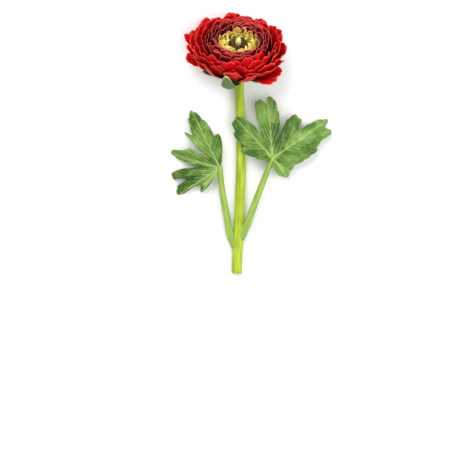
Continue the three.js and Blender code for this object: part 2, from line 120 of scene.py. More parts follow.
HAIR_CLEARANCE = 0.2  # a hair that would come closer than about this to the floor is left out
SIDE_VEINS = 5  # to each side of a lobe
SIDE_VEIN_WEIGHT = 0.45  # a main vein's is 1
LOBE_PARTING = 0.45  # a dent below this share of the longest lobe parts two lobes
RIM_SPACING = 0.8
BLADE_RINGS = 42
PETIOLE_SIDES = 40
PETIOLE_SPACING = 0.9
PETIOLE_END = 6  # stations of the part that thins out under the blade
PICTURE_CENTRE = (-7.13, -97.34, 24.0)  # what the camera looks at, in the model's own frame
SENSOR_WIDTH = 36
FLOOR_SIDE = 12.0  # metres

# Colours that a user has no need to change

# Dusky deep colour: darker tone, and painted shade at the petal roots and backs
# The outer dusky rim colour is a painted highlight along the rolled rims
DUSKY_DEEP_AND_SHADE, DUSKY_LIGHT, DUSKY_OUTER_RIM_HIGHLIGHT = (0.03, 0.0, 0.002), (0.4, 0.02, 0.025), (0.88, 0.09, 0.08)
# Yellow deep colour: darker tone, and painted shade at the petal roots
YELLOW_DEEP_AND_SHADE, YELLOW_LIGHT = (0.2, 0.08, 0.003), (1.0, 0.96, 0.25)
SEPAL_LIGHT, SEPAL_DARK, SEPAL_RIM = (0.21, 0.3, 0.1), (0.06, 0.12, 0.025), (0.58, 0.6, 0.22)
STAMEN_DARK, STAMEN_LIGHT = (0.05, 0.018, 0.008), (0.5, 0.26, 0.05)
BUD_CREAM, BUD_LIGHT = (0.88, 0.74, 0.26), (1.0, 0.94, 0.56)
STEM_LIGHT, STEM_DARK = (0.5, 0.62, 0.05), (0.17, 0.28, 0.015)
PETIOLE_GREEN, PETIOLE_LIGHT, PETIOLE_DARK = (0.25, 0.38, 0.05), (0.4, 0.52, 0.12), (0.14, 0.26, 0.04)
LEAF_LIGHT, LEAF_DARK = (0.32, 0.47, 0.095), (0.035, 0.11, 0.012)
# The first of these is the grey waxy bloom, laid on also as a painted sheen
LEAF_BLOOM_AND_SHEEN, LEAF_UNDER = (0.3, 0.4, 0.17), (0.26, 0.38, 0.2)
FLOOR_GRAIN, SKY = (0.93, 0.93, 0.92), (0.95, 0.97, 1.0, 1)

# Streams of fixed random draws, one for each use

DRAW_SPIN, DRAW_LENGTH, DRAW_TILT, DRAW_ROLL = range(1, 5)
(DRAW_TINT, DRAW_NIBBLE, DRAW_FINE_NIBBLE, DRAW_CURL, DRAW_RIPPLE, DRAW_FINE_RIPPLE, DRAW_TWIST, DRAW_TWIST_START,
 DRAW_SKEW, DRAW_WIDTH) = range(6, 16)
DRAW_STAMEN_TURN, DRAW_STAMEN_HEIGHT, DRAW_STAMEN_LEAN = range(21, 24)
DRAW_HAIR_PLACE, DRAW_HAIR_TURN, DRAW_HAIR_ACROSS, DRAW_HAIR_ALONG, DRAW_HAIR_LENGTH = range(31, 36)


class Whorl(NamedTuple):
    """A ring of petals whose profile runs from base to tip, both (distance from the axis, height along it)."""

    count: int  # petals of a full whorl
    base: tuple
    tip: tuple
    slope: float  # at the base, in degrees
    width: float
    cup: float  # how far a petal's sides rise
    floor: float = -100  # no point of a petal lies lower. The inner whorls don't come near the surface
    directions: tuple = ()  # of the petals that a whorl has, where it isn't full


class Habit(NamedTuple):
    """How the petals of one colour are cut and carried, in millimetres and shares of a petal."""

    unruly: float  # multiplies the random differences between petals
    rounding: float  # how much shorter the petal is at its sides
    notch: float  # depth of the dent in the middle of its tip
    lap: float  # half a petal's room round its whorl, as a share of a step
    lift: float  # how far one side lies over the neighbour
    curl: float  # how far the rim rolls outwards
    wave: float  # height of the rim's ripples
    waves: float  # ripples across a petal
    groove: float  # depth of the fold along its middle
    cup: float  # added to the whorl's own cup
    nibble: float  # multiplies the unevenness of the outline
    columns: int = 18
    rows: int = 18


RED_WHORLS = [
    Whorl(7, (8.0, 4.0), (31.0, 10.5), -4, 12.0, 0.6, 0.3, (-40, -29, 38, 90, 141, 176)),
    Whorl(15, (8.0, 5.2), (29.3, 20.0), -6, 12.0, 0.4, 1.3,
          (3, 26, 55, 84, 108, 131, 150, 166, 183, 203, 228, 284, 311, 336)),
    Whorl(15, (7.8, 6.2), (27.6, 21.8), -6, 11.8, 0.3, 2.3),
    Whorl(16, (7.6, 7.0), (25.8, 23.3), -5, 11.2, 0.3, 3.3),
    Whorl(17, (7.4, 7.8), (23.7, 24.8), -4, 10.4, 0.2, 4.3),
    Whorl(17, (7.2, 8.7), (21.4, 25.9), -2, 9.6, 0.2, 5.3),
]
DUSKY_WHORLS = [
    Whorl(16, (6.8, 9.8), (19.2, 26.2), 2, 8.4, 0.2),
    Whorl(17, (6.6, 10.4), (17.9, 26.4), 4, 7.8, 0.2),
    Whorl(16, (6.4, 11.0), (16.6, 26.5), 5, 7.4, 0.2),
    Whorl(16, (6.2, 11.6), (15.3, 26.4), 6, 7.0, 0.2),
    Whorl(15, (6.0, 12.2), (14.1, 26.0), 7, 6.4, 0.2),
    Whorl(14, (5.8, 12.8), (12.9, 25.4), 8, 6.2, 0.2),
]
YELLOW_WHORLS = [
    Whorl(15, (5.3, 14.2), (11.5, 25.0), 4, 4.8, 0.2),
    Whorl(15, (5.1, 15.0), (10.1, 24.9), 6, 4.4, 0.2),
    Whorl(13, (4.9, 15.8), (8.6, 24.4), 4, 4.2, 0.2),
    Whorl(11, (4.7, 16.5), (6.8, 23.2), 0, 3.8, 0.2),
]
FIRST_DUSKY = len(RED_WHORLS)
FIRST_YELLOW = FIRST_DUSKY + len(DUSKY_WHORLS)
SEPALS = [  # direction, tip: the near one hugs the bloom in the gap of the second red whorl
    (198, (24.0, 4.2)), (256, (30.5, 19.0)), (318, (24.0, 4.2)), (30, (20.5, 3.6)), (108, (20.5, 3.6)),
]
SEPAL = Whorl(5, (4.6, 2.0), (24.0, 4.2), -24, 10.5, 0.9, 0.3)

RED_HABIT = Habit(unruly=1.6, rounding=0.17, notch=0.02, lap=0.62, lift=0.1, curl=1.4, wave=0.45, waves=1.4,
                  groove=0.15, cup=0.8, nibble=1.2)
DUSKY_HABIT = Habit(unruly=1.0, rounding=0.1, notch=0.01, lap=0.62, lift=0.5, curl=0.6, wave=0.2, waves=1.3,
                    groove=0.1, cup=0.1, nibble=0.8)
YELLOW_HABIT = Habit(unruly=1.9, rounding=0.22, notch=0.02, lap=0.52, lift=0.3, curl=-0.9, wave=0.2, waves=1.3,
                     groove=0, cup=0.8, nibble=1.4)
SEPAL_HABIT = Habit(unruly=1, rounding=0.55, notch=0, lap=0.5, lift=0, curl=-0.5, wave=0.2, waves=1.2,
                    groove=0.3, cup=0.4, nibble=0.6)


class LeafShape(NamedTuple):
    """A petiole's route, and the rim of the blade that fans out from its end as (degrees, radius, height)."""

    petiole: list
    arch: float
    rim: list


LEAF_RIGHT = LeafShape(
    petiole=[(0.6, -104, 3.6), (4.6, -97.5, 4.8), (9.4, -85, 6.9), (15.4, -69, 9.2), (21.4, -54.5, 10.0)],
    arch=2.2,
    rim=[
        (-94, 5, 9.4), (-72, 11, 7.4), (-52, 14.5, 5.2), (-32, 14, 6.6), (-18, 14.5, 5.6), (-3, 20, 5.4),
        (6, 25.5, 3.4), (13, 28.5, 4.0), (18, 30.5, 3.2), (24, 40, 0.5), (29, 38.5, 1.2), (35, 41, 0.35),
        (42, 34, 3.4), (48, 24, 6.0), (53, 29.5, 4.6), (61, 30, 5.8), (69, 26.5, 5.2), (75, 8, 10.0),
        (79, 22, 8.8), (85, 31.5, 5.8), (90, 37, 4.4), (95, 37.5, 4.6), (99, 35, 6.2), (103, 37, 4.6),
        (107, 36, 5.2), (112, 27, 8.4), (116, 16, 10.6), (121, 25, 10.4), (127, 31, 10.0), (133, 34, 9.4),
        (139, 33.5, 9.6), (145, 29, 10.6), (152, 26, 9.4), (158, 19.5, 10.6), (167, 20, 9.3), (180, 11, 9.8),
        (206, 4.5, 9.6),
    ],
)
LEAF_LEFT = LeafShape(
    petiole=[(-0.4, -110, 3.2), (-4.4, -104, 4.4), (-7.4, -90, 5.8), (-10.6, -72, 7.2), (-11.6, -60.5, 7.8)],
    arch=1.8,
    rim=[
        (72, 4, 7.4), (84, 14, 6.8), (92, 21.5, 4.4), (99, 20.5, 6.2), (106, 29, 4.0), (112, 35, 3.0),
        (116, 39.5, 0.6), (120, 38.5, 0.9), (125, 33, 3.6), (130, 27.5, 4.6), (135, 30.5, 2.8), (141, 11, 7.6),
        (148, 23, 4.4), (155, 26, 3.4), (159, 30.5, 0.5), (164, 30.5, 0.4), (170, 23, 3.6), (176, 13, 6.0),
        (183, 26.5, 2.2), (188, 30, 0.4), (193, 29.5, 0.5), (199, 22, 3.4), (205, 30, 0.5), (213, 30.5, 0.6),
        (221, 17, 4.4), (233, 18.5, 3.0), (252, 5, 7.2),
    ],
)


SINE, COSINE = math.sin(BLOOM_TILT), math.cos(BLOOM_TILT)
ACROSS = np.array((1.0, 0.0, 0.0))
FAR = np.array((0.0, SINE, -COSINE))
AXIS = np.array((0.0, COSINE, SINE))


BUD_LOW, BUD_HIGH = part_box("bud")
FAR_SIDE = max(r * SINE + w * COSINE for r, w in BUD)
SHIFT = np.array(((BUD_LOW.x + BUD_HIGH.x) / 2 / MM, BUD_HIGH.y / MM - FAR_SIDE, 0.0))  # from that frame to the row's


def bloom_point(r, phi, w):
    """Points r out from the bloom's axis, phi round it and w along it from the neck."""
    r, phi, w = np.broadcast_arrays(r, phi, w)
    out = (r * np.cos(phi))[..., None] * ACROSS + (r * np.sin(phi))[..., None] * FAR
    return out + w[..., None] * AXIS + np.array((0.0, 0.0, NECK_HEIGHT))


def draw(index, stream):
    """A fixed random number from -1 to 1."""
    value = math.sin(index * 12.9898 + stream * 78.233) * 43758.5453
    return 2 * (value - math.floor(value)) - 1


def reach(phi):
    """By which share the bloom reaches further than round in a direction."""
    place = math.degrees(phi) / REACH_STEP % len(REACH)
    before = int(place)
    share = smooth(place - before, 0, 1)
    return REACH[before] * (1 - share) + REACH[(before + 1) % len(REACH)] * share


def smooth(value, low, high):
    """0 below low, 1 above high, and eased in between."""
    share = np.clip((value - low) / (high - low), 0, 1)
    return share * share * (3 - 2 * share)


def bell(value, width):
    """1 at 0, falling off to both sides."""
    return np.exp(-((value / width) ** 2))


def between(t, low, high, a, b):
    """From a, where t is low, to b, where it is high."""
    return (high - t) / (high - low) * a + (t - low) / (high - low) * b


def smooth_line(points, spacing):
    """A centripetal spline through the points, cut about every spacing, and where each point lies on it."""
    points = np.asarray(points, float)
    ends = np.vstack((2 * points[0] - points[1], points, 2 * points[-1] - points[-2]))
    line, marks = [points[:1]], [0]
    for p0, p1, p2, p3 in zip(ends, ends[1:], ends[2:], ends[3:]):
        steps = [math.sqrt(np.linalg.norm(b - a)) for a, b in ((p0, p1), (p1, p2), (p2, p3))]
        t0, t1, t2, t3 = np.cumsum([0] + steps)
        count = max(1, round(np.linalg.norm(p2 - p1) / spacing))
        t = (t1 + (t2 - t1) * np.arange(1, count + 1) / count)[:, None]
        a1, a2, a3 = between(t, t0, t1, p0, p1), between(t, t1, t2, p1, p2), between(t, t2, t3, p2, p3)
        b1, b2 = between(t, t0, t2, a1, a2), between(t, t1, t3, a2, a3)
        line.append(between(t, t1, t2, b1, b2))
        marks.append(marks[-1] + count)
    return np.vstack(line), marks


# Surfaces


def in_scene(name, data):
    """A new object in the scene."""
    new = bpy.data.objects.new(name, data)
    bpy.context.scene.collection.objects.link(new)
    return new


class Surface:
    """The points, faces and values at points of one piece while it grows."""

    def __init__(self):
        self.points, self.faces, self.values, self.count = [], [], {}, 0

    def add(self, points, faces, **values):
        """Adds points and faces. Every add to one surface gives the same values."""
        points = np.array(points, float).reshape(-1, 3)
        points[:, 2] = np.maximum(points[:, 2], LOWEST)
        for face_set in faces:
            self.faces.extend((np.asarray(face_set) + self.count).tolist())
        for name, value in values.items():
            self.values.setdefault(name, []).append(np.broadcast_to(np.ravel(value), len(points)))
        self.points.append(points)
        self.count += len(points)

    def piece(self, name, material, slot, *nodes):
        """Puts the finished object in the scene, in metres in the row's frame, riding on the flower."""
        mesh = bpy.data.meshes.new(name)
        mesh.from_pydata(((np.vstack(self.points) + SHIFT) * MM).tolist(), [], self.faces)
        for value_name, parts in self.values.items():
            attribute = mesh.attributes.new(value_name, "FLOAT", "POINT")
            attribute.data.foreach_set("value", np.concatenate(parts).astype(np.float32))
        mesh.shade_smooth()
        mesh.materials.append(material)
        piece = in_scene(name, mesh)
        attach(piece, "root")
        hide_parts(*nodes)


def ring_faces(rings, sides):
    """Quads between closed rings of points that follow one another."""
    index = np.arange(rings * sides).reshape(rings, sides)
    after = np.roll(index, -1, 1)
    return np.stack((index[:-1], after[:-1], after[1:], index[1:]), 2).reshape(-1, 4)


def angles(sides):
    """The directions of a ring's points."""
    return 2 * math.pi * np.arange(sides) / sides


def unit(vectors):
    """The same directions, each of length 1."""
    return vectors / np.maximum(np.linalg.norm(vectors, axis=-1, keepdims=True), 1e-9)


def add_sheet(surface, grid, thickness, **values):
    """A closed sheet round a grid of points, with its thickness at each. The value back is 1 on its lower side."""
    rows, columns = grid.shape[:2]
    index = np.arange(rows * columns).reshape(rows, columns)
    upper = np.stack((index[:-1, :-1], index[1:, :-1], index[1:, 1:], index[:-1, 1:]), 2).reshape(-1, 4)
    ring = np.concatenate((index[0, :-1], index[:-1, -1], index[-1, :0:-1], index[:0:-1, 0]))
    walls = np.stack((ring, np.roll(ring, -1), np.roll(ring, -1) + index.size, ring + index.size), 1)
    offset = unit(np.cross(np.gradient(grid, axis=0), np.gradient(grid, axis=1))) * thickness[..., None] / 2
    doubled = {name: np.tile(np.broadcast_to(value, (rows, columns)).ravel(), 2) for name, value in values.items()}
    surface.add(np.stack((grid + offset, grid - offset)), (upper, upper[:, ::-1] + index.size, walls),
                back=np.repeat((0.0, 1.0), index.size), **doubled)


def tube_rings(line, radii, sides):
    """Rings of points round a line, each from the tube's top. Radii may vary along the line and round it."""
    tangent = unit(np.gradient(line, axis=0))
    side = unit(np.cross(tangent, (0.0, 0.0, 1.0)))[:, None]
    turn = angles(sides)[:, None]
    spoke = np.cos(turn) * np.cross(side, tangent[:, None]) + np.sin(turn) * side
    return line[:, None] + np.broadcast_to(radii, (len(line), sides))[..., None] * spoke


def add_tube(surface, rings, **values):
    """A tube with closed ends. Values vary from ring to ring, and round runs from 0 to 1 round each."""
    count, sides = rings.shape[:2]
    around = np.arange(sides)
    ends = [around[::-1]], [(count - 1) * sides + around]
    spread = {name: np.repeat(value, sides) for name, value in values.items()}
    surface.add(rings, (ring_faces(count, sides), *ends), round=np.tile(around / sides, count), **spread)


def add_turned(surface, profile, sides, wobble, **values):
    """A solid turned round the bloom's axis from a profile of (radius, height) that starts and ends on it."""
    r, w = np.array(profile[1:-1]).T[..., None]
    around = np.arange(sides)
    phi = angles(sides)
    rings = bloom_point(r * (1 + wobble * np.sin(5 * phi + w)), phi, w)
    poles = bloom_point(0, 0, np.array((profile[0][1], profile[-1][1])))
    after = (around + 1) % sides
    size = len(r) * sides
    last = size - sides
    foot = np.stack((np.full(sides, size), after, around), 1)
    head = np.stack((np.full(sides, size + 1), last + around, last + after), 1)
    surface.add(np.vstack((*rings, poles)), (ring_faces(len(r), sides), foot, head), **values)


def add_hair(surface, foot, direction, length, **values):
    """One fine hair: a slim cone with three sides."""
    direction = unit(direction)
    side = unit(np.cross(direction, (0.3, 0.5, 0.8)))
    over = np.cross(direction, side)
    ring = [foot + HAIR_RADIUS * (math.cos(turn) * side + math.sin(turn) * over) for turn in angles(3)]
    faces = [[(0, 1, 3), (1, 2, 3), (2, 0, 3), (2, 1, 0)]]
    surface.add([*ring, foot + length * direction], faces, **values)


# Petals


def profile_at(whorl, t):
    """Radius, height and rising angle at the share t of an arc that leaves the base at the whorl's slope."""
    dr, dw = whorl.tip[0] - whorl.base[0], whorl.tip[1] - whorl.base[1]
    start = math.radians(whorl.slope)
    turn = 2 * (math.atan2(dw, dr) - start)
    length = math.hypot(dr, dw) * turn / 2 / math.sin(turn / 2)
    angle = start + turn * t
    r = whorl.base[0] + length * (np.sin(angle) - math.sin(start)) / turn
    w = whorl.base[1] - length * (np.cos(angle) - math.cos(start)) / turn
    return r, w, angle, length


def ease_onto_table(z, floor):
    """Heights that run down onto a floor without a crease."""
    above = z - floor
    eased = floor + (above + TABLE_EASE) ** 2 / (4 * TABLE_EASE)
    return np.where(above >= TABLE_EASE, z, np.where(above <= -TABLE_EASE, floor, eased))


def add_petal(surface, whorl, habit, phi, order, thickness, tone=0.0):
    """One petal of a whorl, as a thin sheet with a rolled and rippled rim."""
    u = np.linspace(-1, 1, habit.columns + 1)[None, :]
    v = np.linspace(0, 1, habit.rows + 1)[:, None] ** ROW_CROWDING

    def unruly(stream):
        return habit.unruly * draw(order, stream)

    length_share = 1 + LENGTH_JITTER * unruly(DRAW_LENGTH)
    nibble = 0.008 * np.sin(5 * u + 6 * draw(order, DRAW_NIBBLE))
    nibble += 0.006 * np.sin(11 * u + 6 * draw(order, DRAW_FINE_NIBBLE))
    skew = 0.3 * unruly(DRAW_SKEW) * habit.rounding * u
    outline = 1 - habit.rounding * np.abs(u) ** PETAL_TIP_POWER - habit.notch * bell(u, 0.2)
    outline = outline + habit.nibble * nibble + skew
    t = v * length_share * outline
    full = np.sin(math.pi / 2 * np.minimum(1, v / PETAL_FULL_AT))
    r, w, angle, length = profile_at(whorl, t)
    r = r * (1 + reach(phi) * (r / BLOOM_RADIUS) ** 2)
    width = whorl.width / 2 * (1 + 0.08 * unruly(DRAW_WIDTH)) * (PETAL_ROOT_SHARE + (1 - PETAL_ROOT_SHARE) * full)
    half = np.minimum(habit.lap * 2 * math.pi * r / whorl.count, width)
    rise = ((whorl.cup + habit.cup) * u * u + (ROLL_JITTER * unruly(DRAW_ROLL) + habit.lift) * u) * full
    rise += TILT_JITTER * unruly(DRAW_TILT) * t * t
    rise -= habit.curl * (1 + 0.5 * unruly(DRAW_CURL)) * smooth(v, CURL_FROM, CURL_TO) ** 1.5
    rise -= habit.groove * bell(u, 0.22) * np.sin(math.pi * v)
    ripple = np.sin(math.pi * habit.waves * u + 3 * draw(order, DRAW_RIPPLE))
    ripple += 0.5 * np.sin(2.3 * math.pi * habit.waves * u + 5 * draw(order, DRAW_FINE_RIPPLE))
    rise += habit.wave * ripple * v ** 4
    twist = np.sin(2.2 * math.pi * v + 3 * draw(order, DRAW_TWIST_START))
    rise += 0.25 * unruly(DRAW_TWIST) * twist * u * full
    grid = bloom_point(r - np.sin(angle) * rise, phi + u * half / r, w + np.cos(angle) * rise)
    grid[..., 2] = ease_onto_table(grid[..., 2], whorl.floor)
    edge = np.minimum((1 - v) * outline * length, (1 - np.abs(u)) * half)
    taper = PETAL_RIM_SHARE + (1 - PETAL_RIM_SHARE) * smooth(edge, 0, 2)
    add_sheet(surface, grid, thickness * taper, along=t, across=u * half, edge=edge,
              tint=0.5 + 0.5 * draw(order, DRAW_TINT), tone=tone)


def build_whorls(whorls, first, habit, thickness, material, name):
    """One piece for each whorl of the colour that is named."""
    for k, whorl in enumerate(whorls):
        surface = Surface()
        step = 360 / whorl.count
        directions = whorl.directions or [step * (i + 0.5 * ((first + k) % 2)) for i in range(whorl.count)]
        for order, direction in enumerate(directions, (first + k) * WHORL_ORDERS):
            phi = math.radians(direction + step * SPIN_JITTER * draw(order, DRAW_SPIN))
            add_petal(surface, whorl, habit, phi, order, thickness, tone=k / (len(whorls) - 1))
        surface.piece(f"{name}_whorl_{k + 1}", material, f"{name}_petal", f"{name}_petals")


# Finishes


class Value:
    """A node's output that takes part in arithmetic: each operator adds one Math node."""

    def __init__(self, finish, socket):
        self.finish, self.socket = finish, socket

    def __add__(self, other):
        return self.finish.maths("ADD", self, other)

    __radd__ = __add__

    def __sub__(self, other):
        return self.finish.maths("SUBTRACT", self, other)

    def __rsub__(self, other):
        return self.finish.maths("SUBTRACT", other, self)

    def __mul__(self, other):
        return self.finish.maths("MULTIPLY", self, other)

    __rmul__ = __mul__


class Finish:
    """A material with one surface shader. The method node adds every node that feeds it."""

    def __init__(self, name, **constants):
        self.material = bpy.data.materials.new(name)
        self.material.use_nodes = True
        self.tree = self.material.node_tree
        self.tree.nodes.clear()
        self.shader = self.tree.nodes.new("ShaderNodeBsdfPrincipled")
        output = self.tree.nodes.new("ShaderNodeOutputMaterial")
        self.tree.links.new(self.shader.outputs["BSDF"], output.inputs["Surface"])
        self.set(**constants)

    def feed(self, socket, value):
        if isinstance(value, Value):
            self.tree.links.new(value.socket, socket)
        elif socket.type == "RGBA" and len(value) == 3:
            socket.default_value = (*value, 1)
        else:
            socket.default_value = value

    def node(self, kind, settings=None, sockets=None, output=0):
        """Adds a node, sets its settings first, then its sockets, and gives one of its outputs."""
        node = self.tree.nodes.new(kind)
        for name, setting in (settings or {}).items():
            setattr(node, name, setting)
        for name, value in (sockets or {}).items():
            self.feed(node.inputs[name], value)
        return Value(self, node.outputs[output])

    def set(self, **sockets):
        """Sets or links the shader's own sockets, named with underscores."""
        for name, value in sockets.items():
            self.feed(self.shader.inputs[name.replace("_", " ")], value)

    def maths(self, operation, a, b):
        return self.node("ShaderNodeMath", {"operation": operation}, {0: a, 1: b})

    def values(self, *names):
        """Values that the mesh holds at its points."""
        return [self.node("ShaderNodeAttribute", {"attribute_name": name}, output="Fac") for name in names]

    def step(self, value, low, high):
        """0 below low, 1 above high, and eased in between."""
        return self.node("ShaderNodeMapRange", {"interpolation_type": "SMOOTHSTEP"},
                         {"Value": value, "From Min": low, "From Max": high})

    def place(self, x, y, z):
        return self.node("ShaderNodeCombineXYZ", None, {"X": x, "Y": y, "Z": z})

    def own_place(self):
        """A point's place on the object."""
        return self.node("ShaderNodeTexCoord", output="Object")

    def noise(self, place, scale, detail=3.0, roughness=0.55):
        return self.node("ShaderNodeTexNoise", {"noise_dimensions": "3D"},
                         {"Vector": place, "Scale": scale, "Detail": detail, "Roughness": roughness}, "Fac")

    def mix(self, share, a, b):
        """Colours from a, where share is 0, to b, where it is 1."""
        return self.node("ShaderNodeMix", {"data_type": "RGBA"}, {0: share, 6: a, 7: b}, 2)

    def layered(self, colour, *layers):
        """A colour with others laid over it, each given as (share, colour)."""
        for share, layer in layers:
            colour = self.mix(share, colour, layer)
        return colour

    def ready(self, colour, roughness, height, strength, distance):
        """The material with its colour, its roughness and a bump that follows a height."""
        bump = self.node("ShaderNodeBump", None, {"Height": height, "Strength": strength, "Distance": distance})
        self.set(Base_Color=colour, Roughness=roughness, Normal=bump)
        return self.material


def petal_finish(name, deep, bodies, light, rim_highlights, rim_highlight_width, rim_highlight_share, gloss, lit, painted_back_shade):
    """Satin petals: painted shade towards the root, where the petals overlap, streaked along their length, and a
    painted highlight along the rim.

    Bodies and rims are the colours of the outermost and the innermost whorl; the rims are painted highlights on the
    rolled rims. The deep colour is painted shade towards the root and on the backs, and also darkens some petals at
    random. Lit is the stretch along a petal over which that painted shade gives way to the body colour. The last share
    is how far a petal's back goes towards the deep colour, as painted shade.
    """
    finish = Finish(name, Subsurface_Weight=0.06, Subsurface_Scale=0.0012, Subsurface_Radius=(1.0, 0.25, 0.2),
                    IOR=1.36, Specular_IOR_Level=0.32, Specular_Tint=(1.0, 0.6, 0.5))
    along, across, edge, tint, tone, back = finish.values("along", "across", "edge", "tint", "tone", "back")
    fibres = finish.noise(finish.place(across * 2.6, along * 1.6, tint * 40), 1.0, 4.0, 0.6)
    cloud = finish.noise(finish.place(across * 0.25, along * 3, tint * 17), 1.0, 2.0)
    # Painted shade: deep colour towards the root, where the petals overlap, giving way to the body colour further out
    lit_here = finish.step(along + cloud * 0.25 - 0.12, *lit)
    # Painted highlight along the rolled rim, towards the tip
    rim_highlight_here = 1 - finish.step(edge + cloud * 0.8 - 0.4, 0.0, rim_highlight_width)
    colour = finish.layered(
        finish.mix(lit_here, deep, finish.mix(tone, *bodies)),
        (finish.step(fibres, 0.48, 0.75) * 0.4 * lit_here, light),
        (finish.step(tint, 0.5, 1.0) * 0.2, light),
        ((1 - finish.step(tint, 0.0, 0.45)) * 0.4, deep),
        # Painted shade on each petal's back
        (back * painted_back_shade, deep),
        # Painted highlight on the rim
        (rim_highlight_here * finish.step(along, 0.5, 0.9) * (0.55 + 0.9 * tint) * rim_highlight_share, finish.mix(tone, *rim_highlights)),
    )
    cells = finish.noise(finish.place(across * 9, along * 60, tint * 9), 1.0, 2.0)
    return finish.ready(colour, gloss + fibres * 0.18, fibres * 0.7 + cells * 0.3, 0.5, 0.00022)


def green_finish(name, body, light, dark, rim, gloss):
    """Sepals: matt green with a yellowish edge and long ribs."""
    finish = Finish(name, Sheen_Weight=0.1, IOR=1.4)
    along, across, edge, tint = finish.values("along", "across", "edge", "tint")
    ribs = finish.noise(finish.place(across * 1.8, along * 2.5, tint * 23), 1.0)
    colour = finish.layered(finish.mix(ribs, dark, body), (finish.step(ribs, 0.5, 0.8) * 0.6, light),
                            ((1 - finish.step(edge, 0.1, 1.6)) * 0.8, rim))
    return finish.ready(colour, gloss + ribs * 0.15, ribs, 0.5, 0.0003)


def stem_finish(name, body, light, dark):
    """Stem and petioles: yellow green, with fine streaks along them."""
    finish = Finish(name, Subsurface_Weight=0.1, Subsurface_Scale=0.002, Subsurface_Radius=(0.6, 0.9, 0.2),
                    IOR=1.4, Specular_IOR_Level=0.3)
    along, around = finish.values("along", "round")
    turn = around * (2 * math.pi)
    east = finish.maths("SINE", turn, 0.0)
    north = finish.maths("COSINE", turn, 0.0)
    streaks = finish.noise(finish.place(east * 2.2, north * 2.2, along * 0.02), 1.6, 5.0, 0.65)
    cloud = finish.noise(finish.place(east, north, along * 0.06), 1.2)
    colour = finish.layered(body, (finish.step(streaks, 0.35, 0.65), light),
                            (finish.step(cloud, 0.4, 0.65) * 0.6, dark))
    return finish.ready(colour, 0.36 + streaks * 0.25, streaks * 0.8 + cloud * 0.2, 0.4, 0.0003)


def leaf_finish(name, body, light, dark, vein, bloom, under):
    """Leaf blades: mid green with pale veins and margin, grey patches that are waxy bloom and painted sheen, and a
    fine net.
    """
    finish = Finish(name, Subsurface_Weight=0.06, Subsurface_Scale=0.0015, Subsurface_Radius=(0.5, 1.0, 0.2),
                    IOR=1.45, Specular_IOR_Level=0.3)
    place = finish.own_place()
    from_vein, edge, back, reach = finish.values("vein", "edge", "back", "reach")
    cloud = finish.noise(place, 70.0, 4.0)
    patch = finish.noise(place, 160.0)
    net = finish.node("ShaderNodeTexVoronoi", {"feature": "DISTANCE_TO_EDGE"},
                      {"Vector": place, "Scale": 760.0}, "Distance")
    mesh_line = 1 - finish.step(net, 0.0, 0.09)
    colour = finish.layered(
        dark,
        (finish.step(cloud, 0.38, 0.62), body),
        (finish.step(patch, 0.5, 0.75) * 0.6, light),
        # Grey patches: waxy bloom, and painted sheen
        (finish.step(cloud, 0.5, 0.8) * 0.5, bloom),
        (mesh_line * 0.2, light),
        ((1 - finish.step(from_vein, 0.12, 0.75)) * 0.75, vein),
        ((1 - finish.step(edge, 0.1, 0.7)) * 0.6, vein),
        (finish.step(back, 0.4, 0.6) * 0.6, under),
        ((1 - finish.step(reach, 0.0, 0.2)) * 0.7, vein),
    )
    height = finish.step(net, 0.0, 0.2) * 0.6 + patch * 0.4
    return finish.ready(colour, 0.5 - mesh_line * 0.05 + patch * 0.12, height, 0.45, 0.0003)


def speckled_finish(name, body, light, scale, gloss):
    """A small part's finish: one colour flecked with a lighter one."""
    finish = Finish(name)
    fleck = finish.noise(finish.own_place(), scale)
    colour = finish.mix(finish.step(fleck, 0.4, 0.7), body, light)
    return finish.ready(colour, gloss + fleck * 0.2, fleck, 0.4, 0.0002)


# Stem and leaves


def stem_centre(back):
    """The stem's centre line, back millimetres from the neck towards the cut."""
    back = np.asarray(back, float)
    radius = (NECK_HEIGHT - STEM_LEVEL_HEIGHT) / (1 - COSINE)
    bend = radius * SINE
    fall = (STEM_LEVEL_HEIGHT - STEM_CUT_HEIGHT) / (STEM_LENGTH - bend)
    bent = STEM_LEVEL_HEIGHT + radius - np.sqrt(np.maximum(radius**2 - (bend - back) ** 2, 0))
    z = np.where(back < bend, bent, STEM_LEVEL_HEIGHT - fall * (back - bend))
    x = STEM_SWAY * np.sin(math.pi * back / STEM_SWAY_LENGTH)
    return np.stack((x, -back, z), -1)


def add_stem(surface, rib_height):
    """The ribbed stem with the hollow at its cut end."""
    back = STEM_STATIONS[:, None]
    share = back / STEM_LENGTH
    theta = angles(STEM_SIDES)
    radius = STEM_RADIUS_TOP + (STEM_RADIUS_CUT - STEM_RADIUS_TOP) * share
    swell = 0.25 * bell(back - JOINT_BACK, JOINT_SPREAD) + 0.3 * bell(back, NECK_SPREAD)
    ribs = rib_height * np.cos(STEM_RIBS * theta + 0.6 * np.sin(share * 7))
    uneven = 0.06 * np.sin(3 * theta + back / 9) + 0.05 * np.sin(2 * theta + 1 + back / 23)
    rings = tube_rings(stem_centre(STEM_STATIONS), radius + swell + ribs + uneven, STEM_SIDES)
    lip = stem_centre(STEM_LENGTH)
    inwards = stem_centre(STEM_LENGTH - STEM_HOLLOW_DEPTH) - lip
    outwards = rings[-1] - lip
    cut = [lip + outwards * shrink + inwards * depth * CUT_DEPTH for shrink, depth in CUT_STEPS]
    cut += [lip + unit(outwards) * STEM_HOLLOW_RADIUS + inwards * depth for depth in HOLLOW_STEPS]
    add_tube(surface, np.vstack((rings, cut)), along=np.append(STEM_STATIONS, [STEM_LENGTH + 4] * len(cut)))


